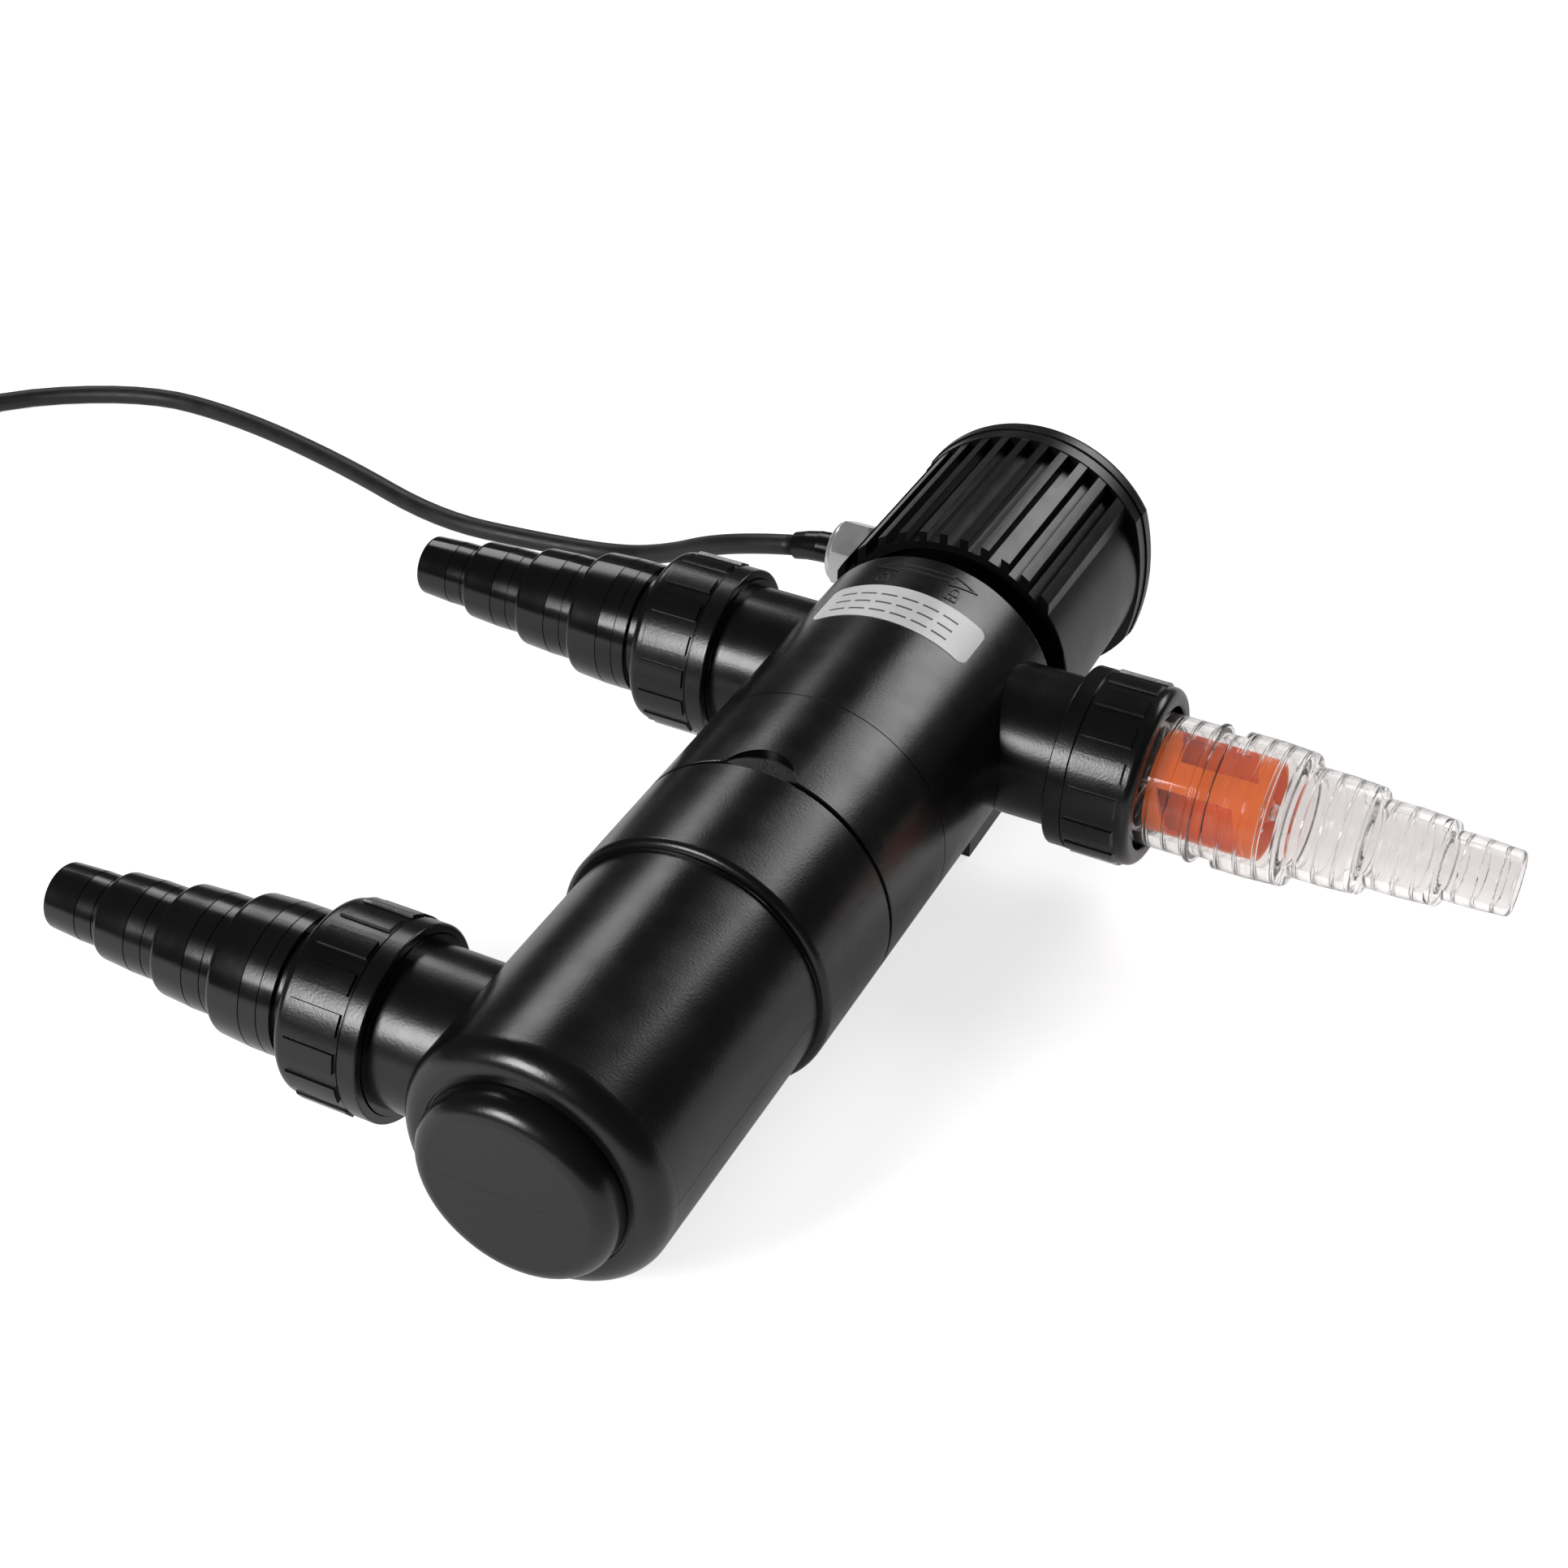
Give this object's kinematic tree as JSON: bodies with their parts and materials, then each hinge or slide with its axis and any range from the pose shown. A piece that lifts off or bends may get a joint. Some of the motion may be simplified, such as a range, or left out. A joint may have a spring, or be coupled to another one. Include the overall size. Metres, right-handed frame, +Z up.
{
  "type": "uv clarifier",
  "caption": "Pond UV clarifier: black tubular housing with three stepped hose tails on union nuts, clear tail with orange flow rotor, twist-lock ribbed head and mains lead.",
  "frame": {"origin": "on the floor under the crossing of the housing axis and the two outlet ports, on the underside of the foot", "axes": "+Y along the housing towards the ballast head, +X towards the clear outlet tail, +Z up"},
  "size_m": [0.6408, 0.3832, 0.0844],
  "materials": {
    "black_abs": "satin black moulded ABS",
    "black_nut": "satin black moulded ABS with a finely grained face",
    "clear_plastic": "clear moulded polycarbonate",
    "orange_plastic": "glossy orange plastic",
    "quartz": "clear quartz glass",
    "lamp_glass": "clear lamp glass",
    "white_plastic": "white plastic",
    "rubber": "black seal rubber",
    "cord_rubber": "black rubber-sheathed lead",
    "chrome": "nickel-plated brass",
    "brass": "plated pins",
    "label": "silver-grey printed label",
    "board": "green circuit board",
    "steel": "stainless screws"
  },
  "bodies": {
    "housing": {"housing_end": "black_abs", "lower_housing": "black_abs", "upper_housing": "black_abs", "lock_neck": "black_abs", "sleeve_cradle": "black_abs", "inlet_port": "black_abs", "left_outlet_port": "black_abs", "right_outlet_port": "black_abs", "front_foot": "black_abs", "rear_foot": "black_abs", "housing_seal": "rubber", "label": "label", "quartz_sleeve": "quartz", "sleeve_seal": "rubber", "sleeve_clamp_ring": "black_abs", "inlet_gasket": "rubber", "left_outlet_gasket": "rubber", "right_outlet_gasket": "rubber", "power_cord": "cord_rubber", "power_cord_coil": "cord_rubber", "plug_cord": "cord_rubber", "plug_body": "cord_rubber", "plug_pins": "brass"},
    "head": {"head_shell": "black_abs", "end_cover": "black_abs", "cover_gasket": "rubber", "cover_screws": "steel", "head_seal": "rubber", "uv_lamp": "lamp_glass", "lamp_base": "white_plastic", "lamp_holder": "white_plastic", "ballast_board": "board", "ballast_choke": "steel", "ballast_capacitor": "white_plastic", "safety_switch": "black_abs", "gland_body": "chrome", "gland_locknut": "chrome", "cord_sleeve": "rubber"},
    "plunger": {"switch_plunger": "orange_plastic"},
    "gland_cap": {"gland_nut": "chrome"},
    "inlet_hose_tail": {"inlet_tail": "black_abs"},
    "inlet_union_nut": {"inlet_nut": "black_nut"},
    "left_hose_tail": {"left_outlet_tail": "black_abs"},
    "left_union_nut": {"left_outlet_nut": "black_nut"},
    "right_hose_tail": {"right_outlet_tail": "clear_plastic", "rotor_spider": "clear_plastic"},
    "right_union_nut": {"right_outlet_nut": "black_nut"},
    "rotor": {"flow_rotor": "orange_plastic"}
  },
  "joints": [
    {"name": "head_turn", "type": "hinge", "parent": "housing", "child": "head", "pos_m": [0, 0.0299, 0.0422], "axis": [0, 1, 0], "range_deg": [0, 30]},
    {"name": "plunger_slide", "type": "slide", "parent": "head", "child": "plunger", "axis": [0, -1, 0], "range_m": [0, 0.0026]},
    {"name": "gland_nut_turn", "type": "hinge", "parent": "head", "child": "gland_cap", "pos_m": [-0.049, 0.067, 0.0422], "axis": [-1, 0, 0], "range_deg": [0, 720]},
    {"name": "inlet_tail_slide", "type": "slide", "parent": "housing", "child": "inlet_hose_tail", "axis": [-1, 0, 0], "range_m": [0, 0.009]},
    {"name": "inlet_nut_turn", "type": "hinge", "parent": "inlet_hose_tail", "child": "inlet_union_nut", "pos_m": [-0.0636, -0.1826, 0.0422], "axis": [-1, 0, 0], "range_deg": [0, 1080]},
    {"name": "left_tail_slide", "type": "slide", "parent": "housing", "child": "left_hose_tail", "axis": [-1, 0, 0], "range_m": [0, 0.009]},
    {"name": "left_nut_turn", "type": "hinge", "parent": "left_hose_tail", "child": "left_union_nut", "pos_m": [-0.0662, 0, 0.0422], "axis": [-1, 0, 0], "range_deg": [0, 1080]},
    {"name": "right_tail_slide", "type": "slide", "parent": "housing", "child": "right_hose_tail", "axis": [1, 0, 0], "range_m": [0, 0.009]},
    {"name": "right_nut_turn", "type": "hinge", "parent": "right_hose_tail", "child": "right_union_nut", "pos_m": [0.0662, 0, 0.0422], "axis": [1, 0, 0], "range_deg": [0, 1080]},
    {"name": "rotor_spin", "type": "hinge", "parent": "right_hose_tail", "child": "rotor", "pos_m": [0.0963, 0, 0.0422], "axis": [1, 0, 0], "continuous": true}
  ],
  "couplings": [
    {"joint": "plunger_slide", "follows": "head_turn", "m_per_rad": 0.004775},
    {"joint": "inlet_tail_slide", "follows": "inlet_nut_turn", "m_per_rad": 0.000477},
    {"joint": "left_tail_slide", "follows": "left_nut_turn", "m_per_rad": 0.000477},
    {"joint": "right_tail_slide", "follows": "right_nut_turn", "m_per_rad": 0.000477}
  ]
}
